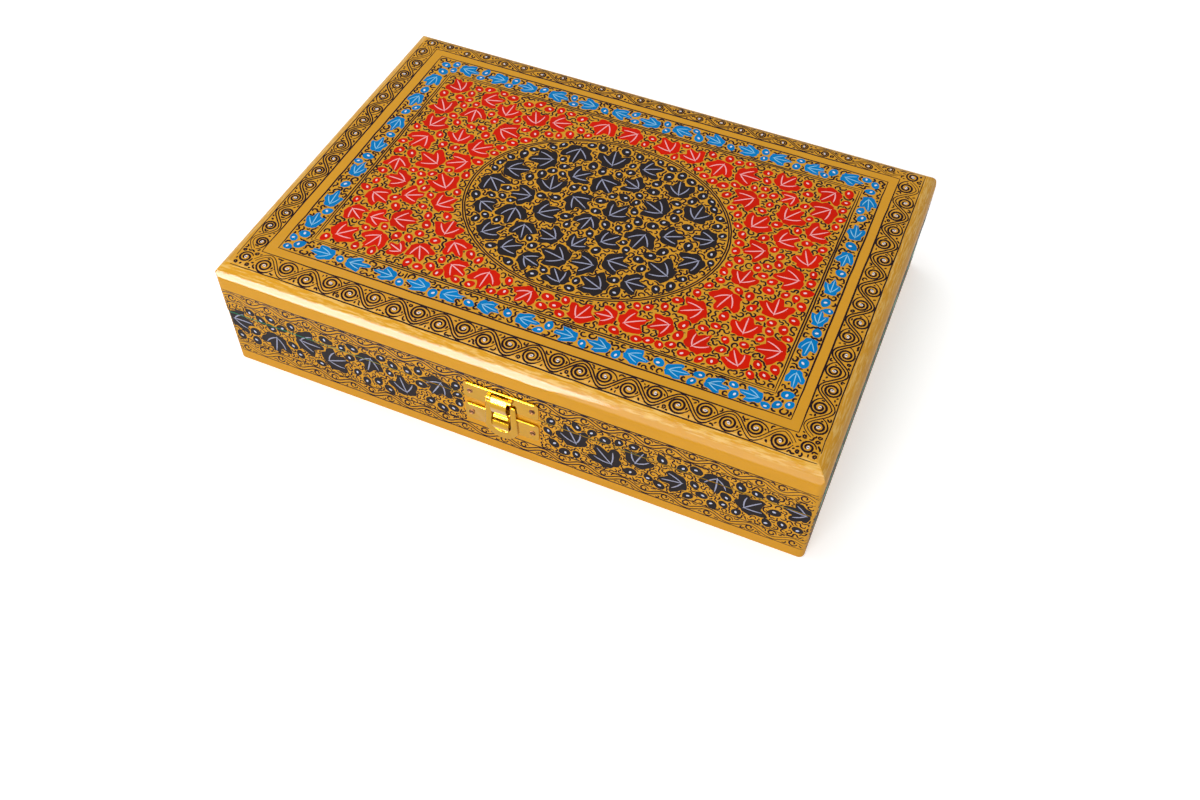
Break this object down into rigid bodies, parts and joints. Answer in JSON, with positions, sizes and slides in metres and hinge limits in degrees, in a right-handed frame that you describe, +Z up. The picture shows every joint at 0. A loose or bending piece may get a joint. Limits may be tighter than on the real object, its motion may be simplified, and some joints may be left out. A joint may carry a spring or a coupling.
{
  "type": "papier mache box",
  "caption": "Flat lidded papier-mache box on a board carcass, lined with felt, with a back-hinged bullnose lid and a brass hasp clasp at the front.",
  "frame": {"origin": "centre of the underside of the base, on the surface that the box rests on", "axes": "+X along the front to the right, +Y from the clasp towards the hinges, +Z up"},
  "size_m": [0.254, 0.1831, 0.055],
  "materials": {
    "painted_skin": "gloss lacquer",
    "carcass_board": "satin lacquer",
    "felt": "matte",
    "brass": "polished",
    "nail_brass": "polished"
  },
  "bodies": {
    "base": {"base_back_lining": "felt", "base_back_wall": "carcass_board", "base_floor": "carcass_board", "base_floor_lining": "felt", "base_front_lining": "felt", "base_front_wall": "carcass_board", "base_left_lining": "felt", "base_left_wall": "carcass_board", "base_right_lining": "felt", "base_right_wall": "carcass_board", "base_skin": "painted_skin", "clasp_catch_nails": "nail_brass", "clasp_catch_plate": "brass", "hinge_base_nails": "nail_brass", "hinge_left_base_leaf": "brass", "hinge_left_pin": "brass", "hinge_right_base_leaf": "brass", "hinge_right_pin": "brass"},
    "lid": {"clasp_lid_nails": "nail_brass", "clasp_lid_plate": "brass", "clasp_pin": "brass", "hinge_left_lid_leaf": "brass", "hinge_lid_nails": "nail_brass", "hinge_right_lid_leaf": "brass", "lid_back_lining": "felt", "lid_back_rail": "carcass_board", "lid_front_lining": "felt", "lid_front_rail": "carcass_board", "lid_left_lining": "felt", "lid_left_rail": "carcass_board", "lid_panel_lining": "felt", "lid_right_lining": "felt", "lid_right_rail": "carcass_board", "lid_skin": "painted_skin", "lid_top_panel": "carcass_board"},
    "hasp": {"clasp_hasp": "brass"}
  },
  "joints": [
    {"name": "lid_hinge", "type": "hinge", "parent": "base", "child": "lid", "pos_m": [0, 0.08965, 0.02875], "axis": [-1, 0, 0], "range_deg": [0, 175]},
    {"name": "hasp_swing", "type": "hinge", "parent": "lid", "child": "hasp", "pos_m": [0, -0.0893, 0.0355], "axis": [-1, 0, 0], "range_deg": [0, 90]}
  ]
}
